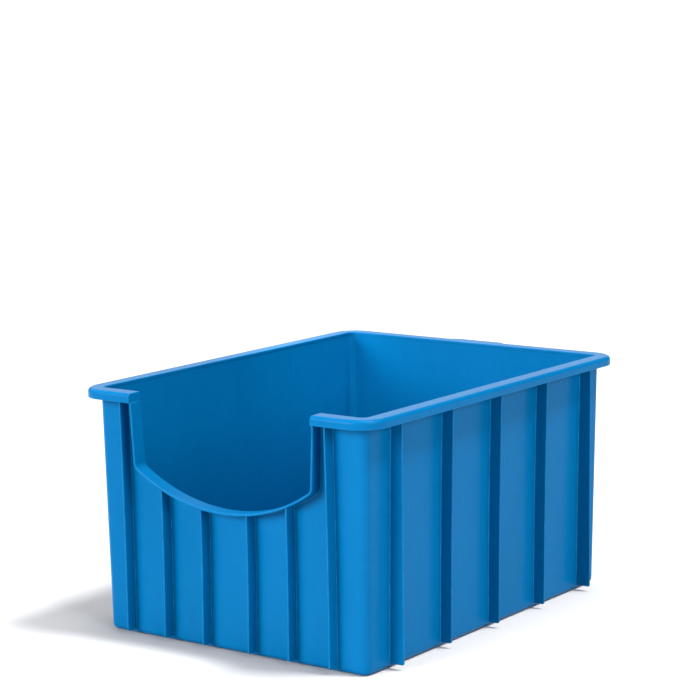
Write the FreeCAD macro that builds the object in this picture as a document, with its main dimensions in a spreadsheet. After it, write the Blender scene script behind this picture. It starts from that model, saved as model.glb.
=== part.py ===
import FreeCAD, Part
import Sketcher
import math
import os

# Stackable storage bin with a scooped front, moulded in one plastic.
# +Z is up, +X is to the right when the scooped front is faced, and the front looks along -Y.
# The origin is the centre of the underside, on the surface that the bin stands on.
# Each moulded feature (panel, corner, rim length, rib, edging) is a solid of its own, and
# neighbours meet face to face on shared planes.

# Driving sizes in millimetres, and angles in degrees.
driving = {
    "rimWidth": 382.0,          # across the rim, left to right
    "rimLength": 500.0,         # across the rim, front to rear, without the rear grip
    "binHeight": 267.0,         # underside to rim top
    "rimOverhang": 16.0,        # wall's outer face to the rim's outer face
    "rimCorner": 30.0,          # outer corner radius of the rim
    "rimRound": 4.5,            # round along the rim's top outer edge
    "mouthRound": 1.0,          # round along the rim's top inner edge
    "skirtDepth": 10.2,         # height of the turned-down lip, rim top included
    "rimGauge": 2.6,            # thickness of the rim top and of its lip
    "wallGauge": 2.6,           # thickness of the walls
    "floorGauge": 3.0,          # thickness of the floor
    "wallDraft": 0.85,          # lean of every wall, wider at the top
    "wallCorner": 10.5,         # outer corner radius of the walls
    "footRound": 6.5,           # round between the walls and the underside
    "floorInset": 10.0,         # underside edge to the floor plate's edge
    "ribGauge": 2.2,            # thickness of a rib
    "ribFoot": 5.5,             # height of the ribs' lower ends, which sit on the next bin's rim
    "ribDraft": 0.85,           # lean of the drafted ribs' outer edges
    "footChamfer": 1.5,         # chamfer at the lower outer corner of a rib
    "endRibPitch": 51.8,        # spacing of the front and rear ribs
    "endRibGap": 60.2,          # spacing of the middle pair of front and rear ribs
    "sideRibPitch": 94.2,       # spacing of the side ribs
    "mouthHalf": 118.4,         # half the width of the front opening at the rim top
    "mouthLean": 2.9,           # lean of the opening's upright edges, wider at the top
    "mouthCorner": 7.0,         # radius of the opening's lower corners
    "mouthShoulder": 192.0,     # height of the centres of those corners
    "mouthDip": 152.5,          # height of the opening's lowest point
    "edgingGauge": 2.6,         # thickness of the edging around the opening
    "gripWidth": 62.0,          # flat length of the rear grip
    "gripReach": 5.0,           # how far the rear grip stands out from the rim
    "gripBlend": 7.0,           # radius that blends the grip's ends into the rim
    "trim": 12.0,               # how far cutting shapes run past what they cut
}

doc = FreeCAD.newDocument("storageBin")
sheet = doc.addObject("Spreadsheet::Sheet", "Sizes")
for row, (alias, size) in enumerate(driving.items(), start=1):
    sheet.set("A%d" % row, alias)
    sheet.set("B%d" % row, str(size))
    sheet.setAlias("B%d" % row, alias)
doc.recompute()


def valueOf(expression):
    """Number that an expression on the sheet gives, for the first guess of a sketch."""
    result = sheet.evalExpression(expression)
    return float(getattr(result, "Value", result))


# Sizes that follow from the driving ones, as expressions on the sheet.
wallTopLevel = "(Sizes.binHeight - Sizes.rimGauge)"
draftSlope = "tan(Sizes.wallDraft * 1 deg)"
wallDrop = "(%s * %s)" % (wallTopLevel, draftSlope)
wallTopX = "(Sizes.rimWidth / 2 - Sizes.rimOverhang)"
wallTopY = "(Sizes.rimLength / 2 - Sizes.rimOverhang)"
wallBaseX = "(%s - %s)" % (wallTopX, wallDrop)
wallBaseY = "(%s - %s)" % (wallTopY, wallDrop)
cutX = "(%s - Sizes.wallCorner)" % wallBaseX
cutY = "(%s - Sizes.wallCorner)" % wallBaseY
floorX = "(%s - Sizes.floorInset)" % wallBaseX
floorY = "(%s - Sizes.floorInset)" % wallBaseY
mouthLeanSlope = "tan(Sizes.mouthLean * 1 deg)"
shoulderX = "(Sizes.mouthHalf - (Sizes.binHeight - Sizes.mouthShoulder) * %s)" % mouthLeanSlope
shoulderRise = "(Sizes.mouthShoulder - Sizes.mouthDip)"
cornerX = "(%s - Sizes.mouthCorner / cos(Sizes.mouthLean * 1 deg))" % shoulderX
dipRadius = "((%s ^ 2 + %s ^ 2 - Sizes.mouthCorner ^ 2) / (2 * (%s - Sizes.mouthCorner)))" % (
    cornerX, shoulderRise, shoulderRise)


def basePlane(body, role):
    """Origin plane of a body, found by its role."""
    return next(feature for feature in body.Origin.OriginFeatures if feature.Role == role)


def newSketch(body, name, role, offset="0"):
    """Sketch on one of the body's own planes, moved along that plane's normal."""
    sketch = body.newObject("Sketcher::SketchObject", name)
    sketch.AttachmentSupport = [(basePlane(body, role), "")]
    sketch.MapMode = "FlatFace"
    sketch.setExpression("AttachmentOffset.Base.z", offset)
    return sketch


def bind(sketch, name, kind, parts, expression):
    """Named dimension of a sketch, bound to the sheet."""
    index = sketch.addConstraint(Sketcher.Constraint(kind, *parts, valueOf(expression)))
    sketch.renameConstraint(index, name)
    sketch.setExpression("Constraints." + name, expression)


def joinLoop(sketch, count, smooth):
    """Closes a loop of count edges, tangent where smooth says so and coincident elsewhere."""
    for edge in range(count):
        following = (edge + 1) % count
        kind = "Tangent" if smooth(edge) else "Coincident"
        sketch.addConstraint(Sketcher.Constraint(kind, edge, 2, following, 1))


def roundedRectangle(body, name, offset, halfX, halfY, radius):
    """Rectangle with round corners, centred on the origin, anticlockwise from its front edge."""
    sketch = newSketch(body, name, "XY_Plane", offset)
    x = valueOf(halfX)
    y = valueOf(halfY)
    r = valueOf(radius)
    corners = [(x, -y), (x, y), (-x, y), (-x, -y)]
    for turn, (cornerAtX, cornerAtY) in enumerate(corners):
        insideX = math.copysign(abs(cornerAtX) - r, cornerAtX)
        insideY = math.copysign(abs(cornerAtY) - r, cornerAtY)
        start = math.radians(90 * (turn - 1))
        centre = FreeCAD.Vector(insideX, insideY, 0)
        circle = Part.Circle(centre, FreeCAD.Vector(0, 0, 1), r)
        arc = Part.ArcOfCircle(circle, start, start + math.pi / 2)
        nextX, nextY = corners[(turn + 1) % 4]
        nextInside = FreeCAD.Vector(
            math.copysign(abs(nextX) - r, nextX), math.copysign(abs(nextY) - r, nextY), 0)
        outward = FreeCAD.Vector(math.cos(start + math.pi / 2), math.sin(start + math.pi / 2), 0)
        side = Part.LineSegment(centre + outward * r, nextInside + outward * r)
        sketch.addGeometry([arc, side], False)
    joinLoop(sketch, 8, lambda edge: True)
    for side, direction in ((1, "Vertical"), (3, "Horizontal"), (5, "Vertical"), (7, "Horizontal")):
        sketch.addConstraint(Sketcher.Constraint(direction, side))
    for arc in (2, 4, 6):
        sketch.addConstraint(Sketcher.Constraint("Equal", 0, arc))
    bind(sketch, "cornerRadius", "Radius", (0,), radius)
    bind(sketch, "rightReach", "DistanceX", (-1, 1, 1, 1), halfX)
    bind(sketch, "rearReach", "DistanceY", (-1, 1, 3, 1), halfY)
    bind(sketch, "leftReach", "DistanceX", (5, 1, -1, 1), halfX)
    bind(sketch, "frontReach", "DistanceY", (7, 1, -1, 1), halfY)
    return sketch


def addPad(body, name, sketch, length, taper="0", symmetric=False):
    """Pad of a sketch; a positive taper widens it away from the sketch."""
    pad = body.newObject("PartDesign::Pad", name)
    pad.Profile = sketch
    pad.setExpression("Length", length)
    pad.setExpression("TaperAngle", taper)
    if symmetric:
        pad.SideType = "Symmetric"
    doc.recompute()
    return pad


def addPocket(body, name, sketch, length, reverse=False):
    """Pocket that has to take material away."""
    before = body.Shape.Volume
    pocket = body.newObject("PartDesign::Pocket", name)
    pocket.Profile = sketch
    pocket.setExpression("Length", length)
    pocket.Reversed = reverse
    doc.recompute()
    if body.Shape.Volume > before - 1.0:
        raise RuntimeError(name + " cuts nothing")
    return pocket


def edgeNames(shape, wanted):
    """Names of the edges whose bounding box passes the test."""
    return ["Edge%d" % number for number, edge in enumerate(shape.Edges, start=1)
            if wanted(edge.BoundBox)]


def addFillet(body, name, base, names, radius):
    """Round on the named edges of the body's last feature."""
    fillet = body.newObject("PartDesign::Fillet", name)
    fillet.Base = (base, names)
    fillet.setExpression("Radius", radius)
    doc.recompute()
    return fillet


def newBody(name):
    """PartDesign body, named like what it is."""
    body = doc.addObject("PartDesign::Body", name)
    body.Label = name
    return body


def combine(kind, label, base, tool):
    """Part boolean of two objects."""
    result = doc.addObject("Part::" + kind, label)
    result.Label = label
    result.Base = base
    result.Tool = tool
    doc.recompute()
    return result


def region(label, low, high):
    """Box between two corners given as expressions, used to share a shape between neighbours."""
    box = doc.addObject("Part::Box", label)
    box.Label = label
    for axis, side, start, end in zip("xyz", ("Length", "Width", "Height"), low, high):
        box.setExpression("Placement.Base." + axis, start)
        box.setExpression(side, "(%s) - (%s)" % (end, start))
    return box


pieces = []


def keep(piece):
    """Marks an object as one of the bin's pieces."""
    pieces.append(piece)
    return piece


# The tub: a tapered box with round corners and a round foot, hollowed by a smaller one.
level = 0.01                                # two edges this near in height are level


def taperedBox(name, bottom, top, inset):
    """Tapered box with round corners and a rounded lower edge, inset from the walls' outer faces."""
    body = newBody(name)
    outline = newSketch(body, name + "Outline", "XY_Plane", bottom)
    lift = "(%s) * %s - (%s)" % (bottom, draftSlope, inset)
    halfX = "%s + %s" % (wallBaseX, lift)
    halfY = "%s + %s" % (wallBaseY, lift)
    x = valueOf(halfX)
    y = valueOf(halfY)
    corners = [FreeCAD.Vector(*point) for point in ((x, -y, 0), (x, y, 0), (-x, y, 0), (-x, -y, 0))]
    for number, corner in enumerate(corners):
        outline.addGeometry(Part.LineSegment(corner, corners[(number + 1) % 4]), False)
    joinLoop(outline, 4, lambda edge: False)
    for side, direction in ((0, "Vertical"), (1, "Horizontal"), (2, "Vertical"), (3, "Horizontal")):
        outline.addConstraint(Sketcher.Constraint(direction, side))
    bind(outline, "rightReach", "DistanceX", (-1, 1, 0, 1), halfX)
    bind(outline, "rearReach", "DistanceY", (-1, 1, 1, 1), halfY)
    bind(outline, "leftReach", "DistanceX", (2, 1, -1, 1), halfX)
    bind(outline, "frontReach", "DistanceY", (3, 1, -1, 1), halfY)
    height = "(%s) - (%s)" % (top, bottom)
    pad = addPad(body, name + "Pad", outline, height, taper="Sizes.wallDraft")
    tall = valueOf(height) - level
    upright = edgeNames(pad.Shape, lambda box: box.ZLength > tall)
    corner = addFillet(body, name + "Corner", pad, upright, "Sizes.wallCorner - (%s)" % inset)
    lowest = valueOf(bottom)
    lower = edgeNames(corner.Shape, lambda box: box.ZMax < lowest + level)
    addFillet(body, name + "Foot", corner, lower, "Sizes.footRound - (%s)" % inset)
    return body


tubOuter = taperedBox("tubOuter", "0", wallTopLevel, "0")
tubInner = taperedBox(
    "tubInner", "Sizes.floorGauge", "%s + Sizes.trim" % wallTopLevel, "Sizes.wallGauge")
tub = combine("Cut", "tub", tubOuter, tubInner)


# The front opening: leaning uprights, round corners and a shallow arc between them.
def mouthPrism(name, grow, reach):
    """Prism that fills the front opening, grown outward by grow and run forward to reach."""
    body = newBody(name)
    sketch = newSketch(body, name + "Outline", "XZ_Plane", "Sizes.rimLength / 4")
    growth = valueOf(grow)
    lean = math.radians(driving["mouthLean"])
    bottomCentreLevel = "Sizes.mouthDip + " + dipRadius
    top = "Sizes.binHeight + Sizes.trim"
    topHalf = "Sizes.mouthHalf + Sizes.trim * %s + (%s) / cos(Sizes.mouthLean * 1 deg)" % (
        mouthLeanSlope, grow)
    cornerRadius = driving["mouthCorner"] + growth
    bottomRadius = valueOf(dipRadius) + growth
    centreX = valueOf(cornerX)
    centreZ = driving["mouthShoulder"]
    bottomCentre = FreeCAD.Vector(0, valueOf(bottomCentreLevel), 0)
    rightCentre = FreeCAD.Vector(centreX, centreZ, 0)
    leftCentre = FreeCAD.Vector(-centreX, centreZ, 0)
    turn = math.atan2(centreX, bottomCentre.y - centreZ)
    normal = FreeCAD.Vector(0, 0, 1)
    down = -math.pi / 2
    rightEnd = rightCentre + FreeCAD.Vector(math.cos(lean), -math.sin(lean), 0) * cornerRadius
    leftEnd = FreeCAD.Vector(-rightEnd.x, rightEnd.y, 0)
    rightTop = FreeCAD.Vector(valueOf(topHalf), valueOf(top), 0)
    leftTop = FreeCAD.Vector(-rightTop.x, rightTop.y, 0)
    bottomCircle = Part.Circle(bottomCentre, normal, bottomRadius)
    rightCircle = Part.Circle(rightCentre, normal, cornerRadius)
    leftCircle = Part.Circle(leftCentre, normal, cornerRadius)
    sketch.addGeometry([
        Part.ArcOfCircle(bottomCircle, down - turn, down + turn),
        Part.ArcOfCircle(rightCircle, down + turn, -lean),
        Part.LineSegment(rightEnd, rightTop),
        Part.LineSegment(rightTop, leftTop),
        Part.LineSegment(leftTop, leftEnd),
        Part.ArcOfCircle(leftCircle, math.pi + lean, math.pi * 1.5 - turn),
    ], False)
    joinLoop(sketch, 6, lambda edge: edge not in (2, 3))
    sketch.addConstraint(Sketcher.Constraint("Horizontal", 3))
    sketch.addConstraint(Sketcher.Constraint("Equal", 1, 5))
    sketch.addConstraint(Sketcher.Constraint("PointOnObject", 0, 3, -2))
    bind(sketch, "dipCentre", "DistanceY", (-1, 1, 0, 3), bottomCentreLevel)
    bind(sketch, "dipRadius", "Radius", (0,), "%s + %s" % (dipRadius, grow))
    bind(sketch, "cornerRadius", "Radius", (1,), "Sizes.mouthCorner + " + grow)
    bind(sketch, "topLevel", "DistanceY", (-1, 1, 2, 2), top)
    bind(sketch, "rightTop", "DistanceX", (-1, 1, 2, 2), topHalf)
    bind(sketch, "leftTop", "DistanceX", (3, 2, -1, 1), topHalf)
    addPad(body, name + "Pad", sketch, "(%s) - Sizes.rimLength / 4" % reach)
    return body


beyondFront = "Sizes.rimLength / 2 + Sizes.trim"
edgingFront = "Sizes.rimLength / 2 - Sizes.rimGauge"
mouthVoid = mouthPrism("mouthVoid", "0", beyondFront)
mouthCover = mouthPrism("mouthCover", "Sizes.edgingGauge", beyondFront)
edgingBlock = mouthPrism("edgingBlock", "Sizes.edgingGauge", edgingFront)

# Floor plate, four walls' panels and four corners share the tub on straight planes.
below = "-Sizes.trim"
above = "Sizes.binHeight + Sizes.trim"
beyondX = "Sizes.rimWidth / 2 + Sizes.trim"
beyondY = "Sizes.rimLength / 2 + Sizes.trim"
floorTop = "Sizes.floorGauge + Sizes.trim"
floorRegion = region(
    "floorRegion", ("-" + floorX, "-" + floorY, below), (floorX, floorY, floorTop))
keep(combine("Common", "floor_plate", tub, floorRegion))
tubSides = combine("Cut", "tubSides", tub, floorRegion)
openTub = combine("Cut", "openTub", tubSides, mouthVoid)


def shareOut(source, suffix, shares):
    """One piece for each named region of a source shape."""
    for name, low, high in shares:
        keep(combine("Common", name, source, region(name + suffix, low, high)))


def minus(expression):
    """Expression with its sign turned."""
    return "-(%s)" % expression


shareOut(openTub, "Region", [
    ("front_panel_left", (minus(cutX), minus(beyondY), below), (minus(shoulderX), "0", above)),
    ("front_panel_lower", (minus(shoulderX), minus(beyondY), below), (shoulderX, minus(cutY), above)),
    ("front_panel_right", (shoulderX, minus(beyondY), below), (cutX, "0", above)),
    ("rear_panel", (minus(cutX), cutY, below), (cutX, beyondY, above)),
    ("left_panel", (minus(beyondX), minus(cutY), below), (minus(cutX), cutY, above)),
    ("right_panel", (cutX, minus(cutY), below), (beyondX, cutY, above)),
])


def cornerShares(stem):
    """Regions of the four corners, named from a stem."""
    spans = {
        "left": (minus(beyondX), minus(cutX)), "right": (cutX, beyondX),
        "front": (minus(beyondY), minus(cutY)), "rear": (cutY, beyondY)}
    shares = []
    for end in ("front", "rear"):
        for side in ("left", "right"):
            low = (spans[side][0], spans[end][0], below)
            high = (spans[side][1], spans[end][1], above)
            shares.append(("%s_%s_%s" % (end, side, stem), low, high))
    return shares


shareOut(openTub, "Region", cornerShares("corner"))

# The rim: a flat top with a turned-down lip, and a wider grip at the middle of the rear.
rim = newBody("rim")
lipLevel = "(Sizes.binHeight - Sizes.skirtDepth)"
rimOutline = roundedRectangle(
    rim, "rimOutline", lipLevel, "Sizes.rimWidth / 2", "Sizes.rimLength / 2", "Sizes.rimCorner")
addPad(rim, "rimBlock", rimOutline, "Sizes.skirtDepth")

gripOutline = newSketch(rim, "gripOutline", "XY_Plane", lipLevel)
rearFace = driving["rimLength"] / 2
gripHalf = driving["gripWidth"] / 2
gripReach = driving["gripReach"]
gripDepth = 2 * gripReach
gripPoints = [
    (-gripHalf - gripReach - gripDepth, rearFace - gripDepth),
    (gripHalf + gripReach + gripDepth, rearFace - gripDepth),
    (gripHalf, rearFace + gripReach),
    (-gripHalf, rearFace + gripReach),
]
for number, (startX, startY) in enumerate(gripPoints):
    endX, endY = gripPoints[(number + 1) % 4]
    start = FreeCAD.Vector(startX, startY, 0)
    end = FreeCAD.Vector(endX, endY, 0)
    gripOutline.addGeometry(Part.LineSegment(start, end), False)
joinLoop(gripOutline, 4, lambda edge: False)
gripOutline.addConstraint(Sketcher.Constraint("Horizontal", 0))
gripOutline.addConstraint(Sketcher.Constraint("Horizontal", 2))
gripInside = "(Sizes.gripWidth / 2 + 3 * Sizes.gripReach)"
bind(gripOutline, "insideLevel", "DistanceY", (-1, 1, 0, 1), "Sizes.rimLength / 2 - 2 * Sizes.gripReach")
bind(gripOutline, "outsideLevel", "DistanceY", (-1, 1, 2, 1), "Sizes.rimLength / 2 + Sizes.gripReach")
bind(gripOutline, "insideRight", "DistanceX", (-1, 1, 0, 2), gripInside)
bind(gripOutline, "insideLeft", "DistanceX", (0, 1, -1, 1), gripInside)
bind(gripOutline, "outsideRight", "DistanceX", (-1, 1, 2, 1), "Sizes.gripWidth / 2")
bind(gripOutline, "outsideLeft", "DistanceX", (2, 2, -1, 1), "Sizes.gripWidth / 2")
gripPad = addPad(rim, "gripBlock", gripOutline, "Sizes.skirtDepth")


def isGripEnd(box):
    """Upright edges where the grip's ends turn."""
    upright = box.ZLength > driving["skirtDepth"] - level
    return upright and box.YMin > rearFace - level and abs(box.XMin) < gripHalf + 2 * gripReach


gripBlend = addFillet(rim, "gripBlend", gripPad, edgeNames(gripPad.Shape, isGripEnd), "Sizes.gripBlend")
topEdges = edgeNames(gripBlend.Shape, lambda box: box.ZMin > driving["binHeight"] - level)
addFillet(rim, "rimRound", gripBlend, topEdges, "Sizes.rimRound")

channelOutline = roundedRectangle(
    rim, "channelOutline", lipLevel, "Sizes.rimWidth / 2 - Sizes.rimGauge",
    "Sizes.rimLength / 2 - Sizes.rimGauge", "Sizes.rimCorner - Sizes.rimGauge")
addPocket(rim, "rimChannel", channelOutline, "Sizes.skirtDepth - Sizes.rimGauge", reverse=True)

mouthRimX = "%s - Sizes.wallGauge" % wallTopX
mouthRimY = "%s - Sizes.wallGauge" % wallTopY
mouthRimCorner = "Sizes.wallCorner - Sizes.wallGauge"
mouthOutline = roundedRectangle(rim, "mouthOutline", lipLevel, mouthRimX, mouthRimY, mouthRimCorner)
mouthPocket = addPocket(rim, "rimMouth", mouthOutline, "Sizes.skirtDepth + Sizes.trim", reverse=True)
mouthReach = valueOf(mouthRimY) + level


def isMouthEdge(box):
    """Edges around the top of the rim's inner face."""
    inside = max(abs(box.YMin), abs(box.YMax)) < mouthReach
    return box.ZMin > driving["binHeight"] - level and inside


addFillet(rim, "mouthRound", mouthPocket, edgeNames(mouthPocket.Shape, isMouthEdge), "Sizes.mouthRound")
openRim = combine("Cut", "openRim", rim, mouthVoid)

gripSplit = "(Sizes.gripWidth / 2 + 2 * Sizes.gripReach)"
shareOut(openRim, "Region", [
    ("front_rim_left", (minus(cutX), minus(beyondY), below), ("0", "0", above)),
    ("front_rim_right", ("0", minus(beyondY), below), (cutX, "0", above)),
    ("left_rim", (minus(beyondX), minus(cutY), below), (minus(cutX), cutY, above)),
    ("right_rim", (cutX, minus(cutY), below), (beyondX, cutY, above)),
    ("rear_rim_left", (minus(cutX), cutY, below), (minus(gripSplit), beyondY, above)),
    ("rear_grip", (minus(gripSplit), cutY, below), (gripSplit, beyondY, above)),
    ("rear_rim_right", (gripSplit, cutY, below), (cutX, beyondY, above)),
])
shareOut(openRim, "Region", cornerShares("rim_corner"))

# The edging around the opening stands forward of the front wall as far as the lip's inner face.
edgingBand = combine("Cut", "edgingBand", edgingBlock, mouthVoid)
edging = combine("Cut", "edging", edgingBand, tubOuter)
shareOut(edging, "Region", [
    ("edging_left", (minus(beyondX), minus(beyondY), "Sizes.mouthShoulder"), ("0", "0", wallTopLevel)),
    ("edging_right", ("0", minus(beyondY), "Sizes.mouthShoulder"), (beyondX, "0", wallTopLevel)),
    ("edging_lower", (minus(beyondX), minus(beyondY), "0"), (beyondX, "0", "Sizes.mouthShoulder")),
])


# Ribs run from their feet up to the underside of the rim's top, inside the lip.
def makeRib(label, turn, along, wallBase, rimHalf, edgeLean):
    """Upright rib on one wall: turn faces it outward and along places it on the wall."""
    body = newBody(label)
    sketch = newSketch(body, label + "_outline", "XZ_Plane")
    foot = "Sizes.ribFoot"
    outerTop = "(%s - Sizes.rimGauge)" % rimHalf
    run = "(%s - %s)" % (wallTopLevel, foot)
    outerFoot = "(%s - %s * tan((%s) * 1 deg))" % (outerTop, run, edgeLean)
    innerTop = "(%s + %s)" % (wallBase, wallDrop)
    innerFoot = "(%s + %s * %s)" % (wallBase, foot, draftSlope)
    chamferLevel = "(%s + Sizes.footChamfer)" % foot
    outerChamfer = "(%s + Sizes.footChamfer * tan((%s) * 1 deg))" % (outerFoot, edgeLean)
    corners = [
        (innerFoot, foot),
        ("(%s - Sizes.footChamfer)" % outerFoot, foot),
        (outerChamfer, chamferLevel),
        (outerTop, wallTopLevel),
        (innerTop, wallTopLevel),
    ]
    points = [FreeCAD.Vector(valueOf(x), valueOf(z), 0) for x, z in corners]
    for number, point in enumerate(points):
        following = points[(number + 1) % len(points)]
        sketch.addGeometry(Part.LineSegment(point, following), False)
    joinLoop(sketch, len(points), lambda edge: False)
    for number, (x, z) in enumerate(corners):
        bind(sketch, "across%d" % number, "DistanceX", (-1, 1, number, 1), x)
        bind(sketch, "level%d" % number, "DistanceY", (-1, 1, number, 1), z)
    addPad(body, label + "_pad", sketch, "Sizes.ribGauge", symmetric=True)
    quarter = math.radians(turn)
    body.Placement.Rotation = FreeCAD.Rotation(FreeCAD.Vector(0, 0, 1), turn)
    body.setExpression("Placement.Base.x", "%.0f * (%s)" % (-math.sin(quarter), along))
    body.setExpression("Placement.Base.y", "%.0f * (%s)" % (math.cos(quarter), along))
    doc.recompute()
    return body


rimHalfY = "Sizes.rimLength / 2"
endPlaces = []
for side in (-1, 1):
    for step in range(3):
        endPlaces.append("%d * (Sizes.endRibGap / 2 + %d * Sizes.endRibPitch)" % (side, step))
endPlaces.sort(key=valueOf)
sidePlaces = ["%d * Sizes.sideRibPitch" % step for step in range(-2, 3)]

for number, place in enumerate(endPlaces, start=1):
    underMouth = abs(valueOf(place)) < driving["mouthHalf"]
    label = "front_rib_%d" % number
    if underMouth:
        fullRib = makeRib(label + "_full", -90, place, wallBaseY, rimHalfY, "Sizes.ribDraft")
        keep(combine("Cut", label, fullRib, mouthCover))
    else:
        keep(makeRib(label, -90, place, wallBaseY, rimHalfY, "Sizes.ribDraft"))
for number, place in enumerate(endPlaces, start=1):
    keep(makeRib("rear_rib_%d" % number, 90, minus(place), wallBaseY, rimHalfY, "Sizes.ribDraft"))
for number, place in enumerate(sidePlaces, start=1):
    lean = "0" if number in (1, len(sidePlaces)) else "Sizes.ribDraft"
    keep(makeRib("left_rib_%d" % number, 180, minus(place), wallBaseX, "Sizes.rimWidth / 2", lean))
    keep(makeRib("right_rib_%d" % number, 0, place, wallBaseX, "Sizes.rimWidth / 2", lean))

# Every object has to be sound, and every piece one closed solid, before anything is written.
doc.recompute()
for thing in doc.Objects:
    if "Invalid" in thing.State or "Error" in thing.State:
        raise RuntimeError("%s did not build: %s" % (thing.Label, thing.State))
for piece in pieces:
    shape = piece.Shape
    if shape.isNull() or not shape.isValid() or len(shape.Solids) != 1:
        raise RuntimeError("%s is not one sound solid" % piece.Label)

os.makedirs("parts", exist_ok=True)
for piece in pieces:
    piece.Shape.exportStep(os.path.join("parts", piece.Label + ".step"))
print("%d pieces, %.0f cm3" % (len(pieces), sum(piece.Shape.Volume for piece in pieces) / 1000))
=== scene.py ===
import math

import bpy
from mathutils import Matrix, Vector


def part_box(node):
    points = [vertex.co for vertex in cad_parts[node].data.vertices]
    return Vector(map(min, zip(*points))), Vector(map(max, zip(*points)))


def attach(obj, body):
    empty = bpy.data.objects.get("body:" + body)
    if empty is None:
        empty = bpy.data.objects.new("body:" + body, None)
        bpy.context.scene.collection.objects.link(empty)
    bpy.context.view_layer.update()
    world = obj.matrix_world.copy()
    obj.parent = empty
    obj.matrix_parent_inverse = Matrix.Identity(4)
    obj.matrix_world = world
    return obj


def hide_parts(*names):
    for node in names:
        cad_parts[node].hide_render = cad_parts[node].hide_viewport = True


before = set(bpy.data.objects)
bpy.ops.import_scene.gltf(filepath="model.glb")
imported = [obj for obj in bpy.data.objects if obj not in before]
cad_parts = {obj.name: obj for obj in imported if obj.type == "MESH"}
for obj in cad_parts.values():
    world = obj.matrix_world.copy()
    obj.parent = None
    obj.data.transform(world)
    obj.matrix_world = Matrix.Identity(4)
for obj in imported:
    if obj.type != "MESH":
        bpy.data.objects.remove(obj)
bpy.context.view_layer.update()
print("frame loaded:", len(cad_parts), "nodes")

mm = 0.001

# The four sides in the order that they are met going anticlockwise, seen from above.
sideNormals = [Vector((0, -1, 0)), Vector((1, 0, 0)), Vector((0, 1, 0)), Vector((-1, 0, 0))]
sideTangents = [Vector((1, 0, 0)), Vector((0, 1, 0)), Vector((-1, 0, 0)), Vector((0, -1, 0))]
front, right, rear, left = range(4)

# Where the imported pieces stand.
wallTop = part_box("left_panel")[1].z
wallHalfX = -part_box("left_panel")[0].x
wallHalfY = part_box("rear_panel")[1].y
rimHalfX = -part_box("left_rim")[0].x
rimHalfY = -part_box("front_rim_left")[0].y
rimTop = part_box("left_rim")[1].z
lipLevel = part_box("left_rim")[0].z
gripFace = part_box("rear_grip")[1].y
edgingFace = -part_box("edging_lower")[0].y
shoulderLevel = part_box("edging_lower")[1].z
shoulderHalf = -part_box("edging_left")[1].x
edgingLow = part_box("edging_lower")[0].z


def arcSteps(start, end, count):
    # angles in radians from start to end degrees, both ends included
    return [math.radians(start + (end - start) * step / count) for step in range(count + 1)]


def finishMesh(name, points, faces, sharpAngle=35):
    mesh = bpy.data.meshes.new(name)
    mesh.from_pydata(points, [], faces)
    mesh.validate()
    mesh.shade_smooth()
    mesh.set_sharp_from_angle(angle=math.radians(sharpAngle))
    piece = bpy.data.objects.new(name, mesh)
    bpy.context.scene.collection.objects.link(piece)
    normals = piece.modifiers.new("even shading", "WEIGHTED_NORMAL")
    normals.keep_sharp = True
    normals.weight = 60
    return piece


def joinLoops(loops, clockwise=False):
    # quads between loops of the same length, with a face over each end; faces look outward
    points = [point for loop in loops for point in loop]
    size = len(loops[0])
    faces = []
    for low in range(0, len(points) - size, size):
        high = low + size
        for step in range(size):
            after = (step + 1) % size
            faces.append((low + step, low + after, high + after, high + step))
    faces.append(tuple(reversed(range(size))))
    faces.append(tuple(range(len(points) - size, len(points))))
    if clockwise:
        faces = [tuple(reversed(face)) for face in faces]
    return points, faces


def place(piece, nodes):
    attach(piece, "root")
    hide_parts(*nodes)


# The walls, with the slight inward bow that they keep from cooling in the mould.
wallPlan = {
    "gauge": 2.6 * mm,
    "floorGauge": 3.0 * mm,
    "draft": math.tan(math.radians(0.85)),
    "corner": 10.5 * mm,        # outer radius of the upright corners
    "foot": 6.5 * mm,           # round between the walls and the underside
    "bow": {front: 3.0 * mm, right: 0.8 * mm, rear: 1.2 * mm, left: 0.9 * mm},
    "rows": 14,
    "sideColumns": 18,
    "topHidden": 1.0 * mm,      # how far the wall runs up inside the rim
    "cornerSteps": 8,
    "footSteps": 7,
    "innerSteps": 6,
    "frontShares": (1.0, 0.93, 0.86, 0.79),     # columns from a front corner to the opening
    # rings of the gate mark under the floor and of the pad over it, each a radius and a level
    "gateRings": ((1.4, 0.35), (1.9, 0.4), (2.2, 0.7), (2.6, 1.0),
                  (9.0, 1.0), (9.7, 0.8), (10.2, 0.25), (11.0, 0.0)),
    "padRings": ((9.0, 3.0), (8.4, 2.9), (7.8, 2.6), (3.0, 2.55)),
}


def inward(side, along, level):
    # how far a wall has bowed in, at a place along it and a height
    half = wallHalfX if side in (front, rear) else wallHalfY
    across = max(0.0, 1 - (along / half) ** 2)
    rise = math.sin(math.pi * min(max(level / wallTop, 0.0), 1.0))
    return wallPlan["bow"][side] * across * rise


def wallPoint(spot, level, inset):
    # point on the wall's outer face, moved in by inset; spot is a side, a kind and an amount
    side, kind, amount = spot
    shrink = (wallTop - level) * wallPlan["draft"] + inset
    halfX = wallHalfX - shrink
    halfY = wallHalfY - shrink
    radius = wallPlan["corner"] - inset
    halfAlong, halfOut = (halfX, halfY) if side in (front, rear) else (halfY, halfX)
    straight = halfAlong - radius
    if kind == "turn":
        along = straight + radius * math.sin(amount)
        out = halfOut - radius + radius * math.cos(amount)
    else:
        along = amount if kind == "fixed" else amount * straight
        out = halfOut - inward(side, along, level)
    point = sideTangents[side] * along + sideNormals[side] * out
    point.z = level
    return point


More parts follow.
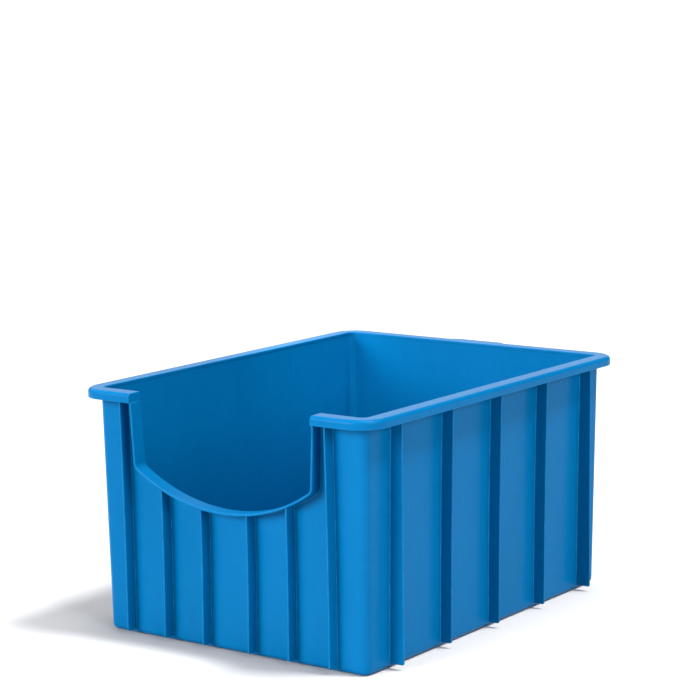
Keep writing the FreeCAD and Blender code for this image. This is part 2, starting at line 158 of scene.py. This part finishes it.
# The front opening: leaning uprights, small round corners and a shallow arc between them.
mouthPlan = {
    "lean": math.radians(2.9),
    "corner": 7.0 * mm,
    "edging": 2.6 * mm,
    "arcSteps": 36,
    "cornerSteps": 7,
    "uprightSteps": 10,
}
mouthDip = edgingLow + mouthPlan["edging"]
mouthSlope = math.tan(mouthPlan["lean"])
mouthRise = shoulderLevel - mouthDip
mouthCornerX = shoulderHalf - mouthPlan["corner"] / math.cos(mouthPlan["lean"])
mouthRadius = ((mouthCornerX ** 2 + mouthRise ** 2 - mouthPlan["corner"] ** 2)
               / (2 * (mouthRise - mouthPlan["corner"])))
mouthTurn = math.atan2(mouthCornerX, mouthDip + mouthRadius - shoulderLevel)


def mouthHalfAt(level):
    return shoulderHalf + (level - shoulderLevel) * mouthSlope


def mouthLine(grow, topLevel):
    # right half of the opening's outline grown by grow: x, level, and the direction out of it
    line = []
    radius = mouthRadius + grow
    for step in range(mouthPlan["arcSteps"] + 1):
        angle = mouthTurn * step / mouthPlan["arcSteps"]
        line.append((radius * math.sin(angle), mouthDip + mouthRadius - radius * math.cos(angle),
                     math.sin(angle), -math.cos(angle)))
    turn = math.degrees(mouthTurn)
    radius = mouthPlan["corner"] + grow
    for angle in arcSteps(turn, 90 - math.degrees(mouthPlan["lean"]), mouthPlan["cornerSteps"])[1:]:
        line.append((mouthCornerX + radius * math.sin(angle),
                     shoulderLevel - radius * math.cos(angle),
                     math.sin(angle), -math.cos(angle)))
    startX, startLevel, outX, outLevel = line[-1]
    for step in range(1, mouthPlan["uprightSteps"] + 1):
        level = startLevel + (topLevel - startLevel) * step / mouthPlan["uprightSteps"]
        line.append((startX + (level - startLevel) * mouthSlope, level, outX, outLevel))
    return line


def mouthTopAt(x, line):
    # level of an outline over a place on the front wall
    for (x0, z0, _, _), (x1, z1, _, _) in zip(line, line[1:]):
        if x0 <= abs(x) <= x1:
            return z0 + (z1 - z0) * (abs(x) - x0) / max(x1 - x0, 1e-9)  # never by zero
    return line[-1][1]


def buildTub():
    plan = wallPlan
    top = wallTop + plan["topHidden"]
    rightHalf = mouthLine(mouthPlan["edging"] / 2, top)
    cutColumns = [(-x, level) for x, level, _, _ in reversed(rightHalf)]
    cutColumns += [(x, level) for x, level, _, _ in rightHalf[1:]]
    columns = [((front, "share", -share), top) for share in plan["frontShares"]]
    columns += [((front, "fixed", x), level) for x, level in cutColumns]
    columns += [((front, "share", share), top) for share in reversed(plan["frontShares"])]
    for side in (front, right, rear, left):
        if side != front:
            count = plan["sideColumns"]
            columns += [((side, "share", -1 + 2 * step / count), top) for step in range(count + 1)]
        turns = arcSteps(0, 90, plan["cornerSteps"])[1:-1]
        columns += [((side, "turn", angle), top) for angle in turns]

    def ring(level, inset):
        return [wallPoint(spot, level, inset) for spot, _ in columns]

    def disc(radius, level):
        # ring of the same count round the floor's centre, for the mark left by the gate
        points = []
        for spot, _ in columns:
            point = wallPoint(spot, 0.0, 0.0)
            angle = math.atan2(point.y, point.x)
            points.append(Vector((radius * math.cos(angle), radius * math.sin(angle), level)))
        return points

    foot = plan["foot"]
    inner = foot - plan["gauge"]
    floorTop = plan["floorGauge"]
    # underside, foot round, up the outside, down the inside, and over the floor
    loops = [disc(radius * mm, level * mm) for radius, level in plan["gateRings"]]
    for angle in arcSteps(0, 90, plan["footSteps"]):
        loops.append(ring(foot * (1 - math.cos(angle)), foot * (1 - math.sin(angle))))
    for row in range(1, plan["rows"] + 1):
        share = row / plan["rows"]
        loops.append([wallPoint(spot, foot + (level - foot) * share, 0.0)
                      for spot, level in columns])
    innerLow = floorTop + inner
    for row in range(plan["rows"], 0, -1):
        share = row / plan["rows"]
        loops.append([wallPoint(spot, innerLow + (level - innerLow) * share, plan["gauge"])
                      for spot, level in columns])
    for angle in arcSteps(90, 0, plan["innerSteps"]):
        loops.append(ring(floorTop + inner * (1 - math.cos(angle)),
                          plan["gauge"] + inner * (1 - math.sin(angle))))
    loops += [disc(radius * mm, level * mm) for radius, level in plan["padRings"]]
    points, faces = joinLoops(loops)
    piece = finishMesh("tub_shell", points, faces)
    place(piece, ["floor_plate", "rear_panel", "left_panel", "right_panel",
                  "front_panel_left", "front_panel_lower", "front_panel_right",
                  "front_left_corner", "front_right_corner",
                  "rear_left_corner", "rear_right_corner"])
    return piece


tub = buildTub()
print("tub shell:", len(tub.data.polygons), "faces")

# The ribs: thin plates with rounded outer edges, blended into the wall at their roots.
ribPlan = {
    "halfRoot": 1.1 * mm,
    "halfTip": 0.95 * mm,
    "tipRound": 0.7 * mm,
    "rootBlend": 1.0 * mm,
    "rootHidden": 0.6 * mm,     # how deep the root runs into the wall
    "rootStep": 0.01 * mm,      # and where it leaves the wall's face
    "blendStart": 22,           # degrees round the root's blend at which it meets the wall
    "thinnest": 0.1 * mm,       # least half thickness that the foot is narrowed to
    "roundSteps": 4,
    "draft": math.tan(math.radians(0.85)),
    "chamfer": 1.5 * mm,
    "footRound": 0.15 * mm,
    "footEdge": 0.5 * mm,
    "footRows": (1.0 * mm, 1.5 * mm, 2.2 * mm),     # sections just above the foot
    "lipGauge": 2.6 * mm,
    "rows": 22,
    "topHidden": 0.6 * mm,
}


def ribOutline(depth, shrink):
    # half of a rib's level section: distance from its middle, distance out from the wall
    plan = ribPlan
    blend = plan["rootBlend"]
    half = [(plan["halfRoot"] + blend, -plan["rootHidden"]),
            (plan["halfRoot"] + blend, plan["rootStep"])]
    for angle in arcSteps(plan["blendStart"], 90, plan["roundSteps"]):
        half.append((plan["halfRoot"] + blend * (1 - math.sin(angle)),
                     blend * (1 - math.cos(angle))))
    rounding = plan["tipRound"]
    for angle in arcSteps(90, 0, plan["roundSteps"]):
        half.append((plan["halfTip"] - rounding + rounding * math.sin(angle),
                     depth - rounding + rounding * math.cos(angle)))
    half = [(max(across - shrink, plan["thinnest"]), out if out <= blend else out - shrink)
            for across, out in half]
    return half + [(-across, out) for across, out in reversed(half)]


def buildRib(node, side, drafted, underMouth):
    plan = ribPlan
    low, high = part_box(node)
    middle = (low + high) / 2
    along = sideTangents[side].dot(middle)
    footLevel = low.z
    ribTop = wallTop + plan["topHidden"]
    line = mouthLine(mouthPlan["edging"] / 2, wallTop)
    rimHalf = rimHalfY if side in (front, rear) else rimHalfX
    wallHalf = wallHalfY if side in (front, rear) else wallHalfX
    reach = mouthTopAt(along, line) if underMouth else ribTop

    # each section's share of the way up, its lift above that, and how far its edges are rounded
    sections = [(0.0, 0.0, plan["footEdge"]), (0.0, plan["footRound"], plan["footRound"]),
                (0.0, plan["footEdge"], 0.0)]
    sections += [(0.0, lift, 0.0) for lift in plan["footRows"]]
    for row in range(1, plan["rows"] + 1):
        share = row / plan["rows"]
        sections.append((share, plan["footRows"][-1] * (1 - share), 0.0))
    loops = []
    for share, lift, shrink in sections:
        level = footLevel + lift + (reach - footLevel) * share
        rootOut = wallHalf - (wallTop - level) * wallPlan["draft"]
        tipOut = rimHalf - plan["lipGauge"]
        if drafted:
            tipOut -= (wallTop - level) * plan["draft"]
        tipOut -= max(0.0, plan["chamfer"] - (level - footLevel))
        outline = ribOutline(tipOut - rootOut, shrink)
        loop = []
        for across, out in outline:
            x = along + across
            pointLevel = level
            if underMouth:
                pointLevel += share * (mouthTopAt(x, line) - reach)
            point = sideTangents[side] * x + sideNormals[side] * (
                rootOut + out - inward(side, along, pointLevel))
            point.z = pointLevel
            loop.append(point)
        loops.append(loop)
    points, faces = joinLoops(loops, clockwise=True)
    piece = finishMesh(node + "_plate", points, faces)
    place(piece, [node])
    return piece


ribs = []
for number in range(1, 7):
    ribs.append(buildRib("front_rib_%d" % number, front, True, number in (2, 3, 4, 5)))
    ribs.append(buildRib("rear_rib_%d" % number, rear, True, False))
for number in range(1, 6):
    drafted = number not in (1, 5)
    ribs.append(buildRib("left_rib_%d" % number, left, drafted, False))
    ribs.append(buildRib("right_rib_%d" % number, right, drafted, False))
print("ribs:", len(ribs))


# The edging: a band round the opening from the wall's inner face out to the lip's inner face.
edgingPlan = {
    "frontRound": 0.9 * mm,
    "backRound": 0.7 * mm,
    "roundSteps": 4,
    # the blend into the wall's outer face: how far beyond the band, and how far off the wall
    "blend": ((0.0, 1.1 * mm), (0.15 * mm, 0.55 * mm), (0.5 * mm, 0.15 * mm),
              (1.1 * mm, -0.05 * mm)),
    "buried": 1.0 * mm,         # how deep the band's outer side is sunk in the wall
    "backHidden": 0.6 * mm,     # how deep its back is sunk, short of the wall's inner face
    "backTuck": 0.1 * mm,
    "backProud": 0.02 * mm,     # how far its back stands inside that face
}


def buildEdging():
    plan = edgingPlan
    gauge = mouthPlan["edging"]
    wallGauge = wallPlan["gauge"]
    frontRound = plan["frontRound"]
    backRound = plan["backRound"]
    steps = plan["roundSteps"]
    rightHalf = mouthLine(0.0, lipLevel)
    line = [(-x, level, -outX, outLevel) for x, level, outX, outLevel in reversed(rightHalf)]
    line += rightHalf[1:]
    loops = []
    for x, level, outX, outLevel in line:
        loop = []

        def add(across, y):
            px = x + outX * across
            pz = level + outLevel * across
            if abs(level - lipLevel) < 1e-7:    # the ends stay flat under the lip
                pz = level
            loop.append(Vector((px, y + inward(front, px, pz), pz)))

        def wallY(across, inset):
            pz = level + outLevel * across
            return -(wallHalfY - (wallTop - pz) * wallPlan["draft"] - inset)

        for angle in arcSteps(0, 90, steps):
            add(frontRound * (1 - math.cos(angle)),
                -edgingFace + frontRound * (1 - math.sin(angle)))
        for angle in arcSteps(90, 0, steps):
            add(gauge - frontRound * (1 - math.cos(angle)),
                -edgingFace + frontRound * (1 - math.sin(angle)))
        for beyond, off in plan["blend"]:
            add(gauge + beyond, wallY(gauge, 0) - off)
        add(gauge, wallY(gauge, 0) + plan["buried"])
        add(gauge * 0.75, wallY(gauge * 0.75, wallGauge) - plan["backHidden"])
        add(gauge / 2 + plan["backTuck"], wallY(gauge / 2, wallGauge) + plan["backProud"])
        for angle in arcSteps(90, 0, steps):
            add(backRound * (1 - math.cos(angle)),
                wallY(0, wallGauge) + plan["backProud"] - backRound * (1 - math.sin(angle)))
        loops.append(loop)
    points, faces = joinLoops(loops)
    piece = finishMesh("opening_edging", points, faces)
    place(piece, ["edging_left", "edging_lower", "edging_right"])
    return piece


edging = buildEdging()
print("edging:", len(edging.data.polygons), "faces")

# The rim: a rolled top with a turned-down lip, run round the bin from one side of the opening
# to the other, with a web that closes each end.
rimPlan = {
    "corner": 30.0 * mm,
    "innerCorner": 7.9 * mm,
    "topRound": 4.5 * mm,
    "innerRound": 1.0 * mm,
    "proud": 0.5 * mm,          # step of the rim's inner face over the wall's
    "gauge": 2.6 * mm,
    "endRound": 0.8 * mm,
    "lipEdge": 0.6 * mm,        # rounds of the lip's lower edge
    "cove": 1.0 * mm,           # blend under the top, in the channel behind the lip
    "coveMiddle": 0.3 * mm,
    "gripHalf": 33.5 * mm,
    "gripBlend": 12.0 * mm,
    "gripRun": 50,              # mm each side of the middle that get fine steps round the grip
    "gripStep": 2.5,            # mm
    "endMarks": (122.0, 125.0, 130.0, 140.0, 150.0),    # mm from the middle, on the front
    "sideSteps": 24,
    "cornerSteps": 14,
}


def rimProfile():
    # the rim's section, going round it: which outline a point hangs from, distance, level
    plan = rimPlan
    top = rimTop
    gauge = plan["gauge"]
    profile = [("inner", 0.8 * mm, wallTop - 0.5 * mm),
               ("inner", -plan["proud"] * 0.6, wallTop - 0.42 * mm),
               ("inner", -plan["proud"], wallTop - 0.1 * mm)]
    rounding = plan["innerRound"]
    for angle in arcSteps(0, 90, 5):
        profile.append(("inner", -plan["proud"] + rounding * (1 - math.cos(angle)),
                        top - rounding * (1 - math.sin(angle))))
    rounding = plan["topRound"]
    for angle in arcSteps(90, 0, 9):
        profile.append(("outer", rounding * (1 - math.cos(angle)),
                        top - rounding * (1 - math.sin(angle))))
    skin = len(profile)
    edge = plan["lipEdge"]
    for angle in arcSteps(0, 90, 3):
        profile.append(("outer", edge * (1 - math.cos(angle)),
                        lipLevel + edge * (1 - math.sin(angle))))
    for angle in arcSteps(90, 0, 3):
        profile.append(("outer", gauge - edge * (1 - math.cos(angle)),
                        lipLevel + edge * (1 - math.sin(angle))))
    under = top - gauge
    cove = plan["cove"]
    middle = plan["coveMiddle"]
    profile += [("outer", gauge, under - cove), ("outer", gauge + middle, under - middle),
                ("outer", gauge + cove, under)]
    profile += [("inner", gauge + cove, under), ("inner", gauge + middle, under - middle),
                ("inner", gauge, under - cove), ("inner", gauge - 0.8 * mm, under - cove)]
    return profile, skin        # skin is how many points make the inner edge and the top


def gripShare(x):
    # 0 beside the grip, 1 on it, with an even blend between
    plan = rimPlan
    step = (plan["gripHalf"] + plan["gripBlend"] / 2 - abs(x)) / plan["gripBlend"]
    step = min(max(step, 0.0), 1.0)
    return step * step * (3 - 2 * step)


def rimPoint(side, kind, amount, ref, distance, level):
    # amount is a share of the straight run, a fixed place on it, or an angle round the corner
    if ref == "outer":
        halfX = rimHalfX
        halfY = rimHalfY
        radius = rimPlan["corner"]
        offset = -distance
    else:
        halfX = wallHalfX - wallPlan["gauge"]
        halfY = wallHalfY - wallPlan["gauge"]
        radius = rimPlan["innerCorner"]
        offset = distance
    halfAlong, halfOut = (halfX, halfY) if side in (front, rear) else (halfY, halfX)
    straight = halfAlong - radius
    if kind == "turn":
        along = straight + (radius + offset) * math.sin(amount)
        out = halfOut - radius + (radius + offset) * math.cos(amount)
    else:
        along = amount if kind == "fixed" else amount * straight
        out = halfOut + offset
        if side == rear and ref == "outer":
            reach = gripFace - rimHalfY
            # only the outer skin and the top reach out over the grip
            skin = 1.0 if distance < rimPlan["gauge"] / 2 or level > wallTop + 1.5 * mm else 0.0
            fade = 1.0 if distance < rimPlan["topRound"] + 0.1 * mm else 0.0
            out += reach * gripShare(along) * skin * fade
    point = sideTangents[side] * along + sideNormals[side] * out
    point.z = level
    return point


def buildRim():
    plan = rimPlan
    profile, skin = rimProfile()
    count = len(profile)
    lipBottomY = rimHalfY - plan["gauge"] * 0.8
    innerY = wallHalfY - wallPlan["gauge"]

    # the filled section at each end: the skin as it is, and a straight bottom level with the lip
    filled = []
    for index, (ref, distance, level) in enumerate(profile):
        out = rimHalfY - distance if ref == "outer" else innerY + distance
        filled.append([out, level])
    bottom = list(range(skin + 4, count - 3))
    for step, index in enumerate(bottom):
        share = (step + 1) / (len(bottom) + 1)
        filled[index] = [lipBottomY + (innerY - lipBottomY) * share, lipLevel]
    innerLow = innerY - (wallTop - lipLevel) * wallPlan["draft"] - 0.02 * mm
    for step, index in enumerate(range(count - 3, count)):
        filled[index] = [innerLow + 0.00001 * step, lipLevel + (0.0, 1.2, 4.0)[step] * mm]
    filled[0] = [innerY - 0.02 * mm, wallTop - 0.6 * mm]
    order = len(filled)

    def endLoop(sign, offset, inset, isFilled):
        loop = []
        for index in range(order):
            out, level = filled[index]
            if not isFilled:
                ref, distance, level = profile[index]
                out = rimHalfY - distance if ref == "outer" else innerY + distance
            if inset > 0:
                before = Vector(filled[index - 1])
                after = Vector(filled[(index + 1) % order])
                run = (after - before).normalized()
                outNormal = Vector((run.y, -run.x))
                isBottom = abs(filled[index][1] - lipLevel) < 0.05 * mm
                if isBottom and out < rimHalfY - 1.0 * mm:
                    outNormal = Vector((0, 0))
                out += outNormal.x * inset
                level += outNormal.y * inset
            x = sign * (mouthHalfAt(level) + offset)
            loop.append(Vector((x, -out, level)))
        return loop

    edge = plan["endRound"]
    ends = []
    for offset, inset in ((0.0, edge), (edge * 0.13, edge * 0.5), (edge * 0.5, edge * 0.13),
                          (edge, 0.0), (edge * 1.6, 0.0), (mouthPlan["edging"], 0.0)):
        ends.append((offset, inset, True))
    ends.append((mouthPlan["edging"] + 0.05 * mm, 0.0, False))

    loops = [endLoop(-1, *end) for end in ends]
    stations = [(front, "fixed", -x * mm) for x in plan["endMarks"]]
    # from the left of the opening the run goes clockwise: left side, rear, right side
    for side in (left, rear, right):
        stations += [(side, "turn", angle) for angle in arcSteps(90, 0, plan["cornerSteps"])]
        steps = plan["sideSteps"]
        if side == rear:
            marks = [1 - 2 * step / steps for step in range(1, steps)]
            fineCount = round(2 * plan["gripRun"] / plan["gripStep"])
            fine = [(-plan["gripRun"] + plan["gripStep"] * step) * mm
                    for step in range(fineCount + 1)]
            straight = rimHalfX - plan["corner"]
            clear = (plan["gripRun"] + 2) * mm
            marks = [mark for mark in marks if abs(mark * straight) > clear]
            run = [(side, "share", mark) for mark in marks if mark > 0]
            run += [(side, "fixed", -x) for x in fine]
            run += [(side, "share", mark) for mark in marks if mark < 0]
            stations += run
        else:
            stations += [(side, "share", 1 - 2 * step / steps) for step in range(1, steps)]
    stations += [(front, "turn", angle) for angle in arcSteps(90, 0, plan["cornerSteps"])]
    stations += [(front, "fixed", x * mm) for x in reversed(plan["endMarks"])]
    for side, kind, amount in stations:
        loops.append([rimPoint(side, kind, amount, *mark) for mark in profile])
    loops += [endLoop(1, *end) for end in reversed(ends)]
    points, faces = joinLoops(loops, clockwise=True)
    piece = finishMesh("rolled_rim", points, faces)
    place(piece, ["front_rim_left", "front_rim_right", "left_rim", "right_rim",
                  "rear_rim_left", "rear_grip", "rear_rim_right",
                  "front_left_rim_corner", "front_right_rim_corner",
                  "rear_left_rim_corner", "rear_right_rim_corner"])
    return piece


rim = buildRim()
print("rim:", len(rim.data.polygons), "faces")


def hexColour(text):
    # sRGB hex to the linear colour that the shaders use
    channels = []
    for start in (0, 2, 4):
        value = int(text[start:start + 2], 16) / 255
        channels.append(value / 12.92 if value <= 0.04045 else ((value + 0.055) / 1.055) ** 2.4)
    return (*channels, 1.0)


def addNode(tree, kind, settings=None, links=None):
    # one node: settings are its own properties or its sockets' values, links feed its sockets
    node = tree.nodes.new(kind)
    for name, value in (settings or {}).items():
        if isinstance(name, int) or name in node.inputs:
            node.inputs[name].default_value = value
        else:
            setattr(node, name, value)
    for name, source in (links or {}).items():
        tree.links.new(source, node.inputs[name])
    return node


def newMaterial(name):
    material = bpy.data.materials.new(name)
    material.use_nodes = True
    material.node_tree.nodes.clear()
    return material, material.node_tree


# Blue polypropylene, moulded against lightly spark-textured steel and ejected warm.
plasticPlan = {
    "deep": "005c8f",           # pigment where the melt ran thick
    "pale": "03639a",           # and where it ran thin
    "wornAndHighlight": "1a7db4",           # edges rubbed by stacking and handling, and paler also as a painted highlight on rounded edges
    "edgeReach": 1.3 * mm,      # how far in from an edge the rubbing and the painted highlight reach
    "edgeStart": 0.92,          # openness of the skin at which the rubbing and the painted highlight begin
    "edgeEnd": 0.55,            # and at which it is complete
    "flowSize": 0.16,           # metres between flow bands
    "mottleSize": 0.012,        # metres between the mottle's patches
    "satin": 0.26,              # roughness of the freshest skin
    "scuffed": 0.34,            # and of the skin rubbed dull
    "ior": 1.49,
    "specular": 0.045,          # chosen to suit the broad lights here; 0.5 is usual
    "grainSize": 0.0011,        # true spark texture is near 0.2 mm, drawn coarser so that it shows
    "grainDepth": 0.010 * mm,
    "waveSize": 0.045,          # shallow sink and ripple left by uneven cooling
    "waveDepth": 0.03 * mm,
    "scratchSize": 0.004,       # across the strokes, which are twelve times as long
    "scratchDepth": 0.012 * mm,
}


def mouldedPolypropylene():
    plan = plasticPlan
    material, tree = newMaterial("polypropylene moulded satin blue")
    spot = addNode(tree, "ShaderNodeTexCoord").outputs["Object"]

    # long soft bands of flow, stretched up the walls, and a faint mottle within them
    bands = addNode(tree, "ShaderNodeMapping", {"Scale": (1.0, 1.0, 0.35)}, {"Vector": spot})
    flow = addNode(tree, "ShaderNodeTexNoise", {"Scale": 1 / plan["flowSize"], "Detail": 3.0,
                                                "Roughness": 0.55}, {"Vector": bands.outputs[0]})
    mottle = addNode(tree, "ShaderNodeTexNoise", {"Scale": 1 / plan["mottleSize"], "Detail": 4.0},
                     {"Vector": spot})
    blend = addNode(tree, "ShaderNodeMix", {"data_type": "FLOAT", 0: 0.25},
                    {2: flow.outputs["Fac"], 3: mottle.outputs["Fac"]})
    spread = addNode(tree, "ShaderNodeMapRange", {"From Min": 0.35, "From Max": 0.65},
                     {"Value": blend.outputs[0]})
    pigment = addNode(tree, "ShaderNodeMix", {"data_type": "RGBA", 6: hexColour(plan["deep"]),
                                              7: hexColour(plan["pale"])}, {0: spread.outputs[0]})

    # edges and corners painted paler, partly as rubbing and partly as a painted highlight, broken
    # up so that the paler edge is not an even line
    shape = addNode(tree, "ShaderNodeAmbientOcclusion", {
        "inside": True, "only_local": True, "samples": 6, "Distance": plan["edgeReach"]})
    edge = addNode(tree, "ShaderNodeMapRange", {"From Min": plan["edgeStart"],
                                                "From Max": plan["edgeEnd"]},
                   {"Value": shape.outputs["AO"]})
    patches = addNode(tree, "ShaderNodeMapRange", {"From Min": 0.40, "From Max": 0.62,
                                                   "To Min": 0.35, "To Max": 0.85},
                      {"Value": mottle.outputs["Fac"]})
    wearAndHighlight = addNode(tree, "ShaderNodeMath", {"operation": "MULTIPLY"},
                   {0: edge.outputs[0], 1: patches.outputs[0]})
    # the pale edge colour is part wear and part painted highlight on rounded edges
    skin = addNode(tree, "ShaderNodeMix", {"data_type": "RGBA", 7: hexColour(plan["wornAndHighlight"])},
                   {0: wearAndHighlight.outputs[0], 6: pigment.outputs[2]})

    # handling marks: short fine strokes that dull the satin in places
    strokes = addNode(tree, "ShaderNodeMapping", {"Scale": (1.0, 1.0, 0.08),
                                                  "Rotation": (0.35, 0.2, 0.0)}, {"Vector": spot})
    scratch = addNode(tree, "ShaderNodeTexNoise", {"Scale": 1 / plan["scratchSize"], "Detail": 2.0},
                      {"Vector": strokes.outputs[0]})
    rubbed = addNode(tree, "ShaderNodeMapRange", {"From Min": 0.67, "From Max": 0.85},
                     {"Value": scratch.outputs["Fac"]})
    dull = addNode(tree, "ShaderNodeMath", {"operation": "MAXIMUM"},
                   {0: rubbed.outputs[0], 1: wearAndHighlight.outputs[0]})
    satin = addNode(tree, "ShaderNodeMapRange", {"To Min": plan["satin"],
                                                 "To Max": plan["scuffed"]},
                    {"Value": dull.outputs[0]})

    # relief: cooling ripple, spark texture and the strokes' own shallow grooves
    wave = addNode(tree, "ShaderNodeTexNoise", {"Scale": 1 / plan["waveSize"], "Detail": 1.0},
                   {"Vector": bands.outputs[0]})
    grain = addNode(tree, "ShaderNodeTexNoise", {"Scale": 1 / plan["grainSize"], "Detail": 2.0},
                    {"Vector": spot})
    ripple = addNode(tree, "ShaderNodeBump", {"Strength": 1.0, "Distance": plan["waveDepth"]},
                     {"Height": wave.outputs["Fac"]})
    grooves = addNode(tree, "ShaderNodeBump", {"Strength": 0.06, "Distance": plan["scratchDepth"],
                                               "invert": True},
                      {"Height": scratch.outputs["Fac"], "Normal": ripple.outputs[0]})
    relief = addNode(tree, "ShaderNodeBump", {"Strength": 1.0, "Distance": plan["grainDepth"]},
                     {"Height": grain.outputs["Fac"], "Normal": grooves.outputs[0]})

    shader = addNode(tree, "ShaderNodeBsdfPrincipled", {"IOR": plan["ior"],
                                                        "Specular IOR Level": plan["specular"]},
                     {"Base Color": skin.outputs[2], "Roughness": satin.outputs[0],
                      "Normal": relief.outputs[0]})
    addNode(tree, "ShaderNodeOutputMaterial", links={"Surface": shader.outputs[0]})
    return material


plastic = mouldedPolypropylene()
for piece in [tub, edging, rim] + ribs:
    piece.data.materials.append(plastic)
print("materials on", 3 + len(ribs), "pieces")


# Plain pale floor, wide enough to fill every view.
floorPlan = {
    "colour": "aaaaab",
    "roughness": 0.9,
    "specular": 0.1,
    "reach": 90.0,              # metres
    "sides": 72,
}


def buildFloor():
    plan = floorPlan
    material, tree = newMaterial("painted board matt white")
    shader = addNode(tree, "ShaderNodeBsdfPrincipled", {
        "Base Color": hexColour(plan["colour"]), "Roughness": plan["roughness"],
        "Specular IOR Level": plan["specular"]})
    addNode(tree, "ShaderNodeOutputMaterial", links={"Surface": shader.outputs[0]})
    mesh = bpy.data.meshes.new("studio_floor")
    points = [(plan["reach"] * math.cos(angle), plan["reach"] * math.sin(angle), 0.0)
              for angle in arcSteps(0, 360, plan["sides"])[:-1]]
    mesh.from_pydata(points, [], [tuple(range(len(points)))])
    floor = bpy.data.objects.new("studio_floor", mesh)
    bpy.context.scene.collection.objects.link(floor)
    floor.data.materials.append(material)
    return floor


stageFloor = buildFloor()


def addSun(name, azimuth, elevation, strength, softness, colour):
    lamp = bpy.data.lights.new(name, "SUN")
    lamp.energy = strength
    lamp.angle = math.radians(softness)
    lamp.color = colour
    item = bpy.data.objects.new(name, lamp)
    bearing = math.radians(azimuth)
    height = math.radians(elevation)
    source = Vector((math.cos(bearing) * math.cos(height),
                     math.sin(bearing) * math.cos(height), math.sin(height)))
    item.rotation_mode = "QUATERNION"
    item.rotation_quaternion = source.to_track_quat("Z", "Y")
    item.location = source * lightPlan["distance"]
    bpy.context.scene.collection.objects.link(item)
    return item


# Broad panels round the stage. Each has a bearing in degrees anticlockwise from +X, a height in
# degrees above the floor, a strength, a spread in degrees and a colour.
white = (1.0, 1.0, 1.0)
lightPlan = {
    "distance": 3,              # metres to where a panel's lamp stands, which changes no light
    "world": (0.09, white),
    "suns": [
        ("front_left_panel", 240, 20, 2.5, 30, white),
        ("front_panel", 256, 20, 2.3, 26, white),
        ("overhead_front_panel", 264, 70, 0.3, 14, white),
        ("overhead_panel", 90, 80, 1.3, 20, white),
        ("rear_right_panel", 60, 58, 0.3, 20, white),
        ("right_high_panel", 22, 68, 2.2, 12, white),
        ("right_low_panel", 350, 22, 1.85, 26, white),
        ("right_edge_light", 335, 64, 0.6, 4, white),
        ("rear_left_fill", 165, 38, 0.5, 40, white),
        ("backdrop_sheen", 124, 14, 0.34, 40, white),
    ],
    # the key that draws the bin's shadow, kept to the floor so that the lip shades no wall
    "floorKey": ("floor_key", 22, 68, 2.9, 12, white),
    # a shaded lamp over the bin that opens up its far inside corner
    "inside": {"place": Vector((-0.11, -0.24, 0.66)), "aim": Vector((-0.20, 0.24, 0.14)),
               "power": 20.0, "cone": 23, "radius": 0.06},
}


def buildLights():
    world = bpy.data.worlds.new("soft studio")
    bpy.context.scene.world = world
    world.use_nodes = True
    tree = world.node_tree
    tree.nodes.clear()
    strength, colour = lightPlan["world"]
    sky = addNode(tree, "ShaderNodeBackground", {"Color": (*colour, 1.0), "Strength": strength})
    addNode(tree, "ShaderNodeOutputWorld", links={"Surface": sky.outputs[0]})
    for sun in lightPlan["suns"]:
        addSun(*sun)
    key = addSun(*lightPlan["floorKey"])
    lit = bpy.data.collections.new("lit by the floor key")
    lit.objects.link(stageFloor)
    key.light_linking.receiver_collection = lit

    inside = lightPlan["inside"]
    lamp = bpy.data.lights.new("inside_lamp", "SPOT")
    lamp.energy = inside["power"]
    lamp.spot_size = math.radians(inside["cone"])
    lamp.spot_blend = 1.0
    lamp.shadow_soft_size = inside["radius"]
    item = bpy.data.objects.new("inside_lamp", lamp)
    item.location = inside["place"]
    item.rotation_mode = "QUATERNION"
    item.rotation_quaternion = (inside["place"] - inside["aim"]).to_track_quat("Z", "Y")
    item.visible_camera = False
    bpy.context.scene.collection.objects.link(item)
    bpy.context.scene.view_settings.view_transform = "Standard"


buildLights()

cameraPlan = {
    "yaw": 35.57,               # degrees to the right of straight on
    "pitch": 9.942,             # degrees down
    "roll": -0.681,
    "sensor": 36,               # mm
    "lens": 123.19714,          # mm
    "distance": 2.65957,
    "target": Vector((-0.0103, 0.0, 0.24378)),
    "shiftUp": 0.0571429,       # share of the picture's width
    "near": 0.05,
    "far": 300,
}


def buildCamera():
    plan = cameraPlan
    yaw = math.radians(plan["yaw"])
    pitch = math.radians(plan["pitch"])
    roll = math.radians(plan["roll"])
    ahead = Vector((-math.sin(yaw) * math.cos(pitch), math.cos(yaw) * math.cos(pitch),
                    -math.sin(pitch)))
    across = Vector((math.cos(yaw), math.sin(yaw), 0))
    up = across.cross(ahead)
    rolledAcross = across * math.cos(roll) + up * math.sin(roll)
    rolledUp = up * math.cos(roll) - across * math.sin(roll)
    lens = bpy.data.cameras.new("studio_camera")
    lens.sensor_width = plan["sensor"]
    lens.lens = plan["lens"]
    lens.shift_y = plan["shiftUp"]
    lens.clip_start = plan["near"]
    lens.clip_end = plan["far"]
    item = bpy.data.objects.new("studio_camera", lens)
    turn = Matrix((rolledAcross, rolledUp, -ahead)).transposed()
    position = plan["target"] - ahead * plan["distance"]
    item.matrix_world = Matrix.Translation(position) @ turn.to_4x4()
    bpy.context.scene.collection.objects.link(item)
    bpy.context.scene.camera = item


buildCamera()
print("floor, lights and camera in place")
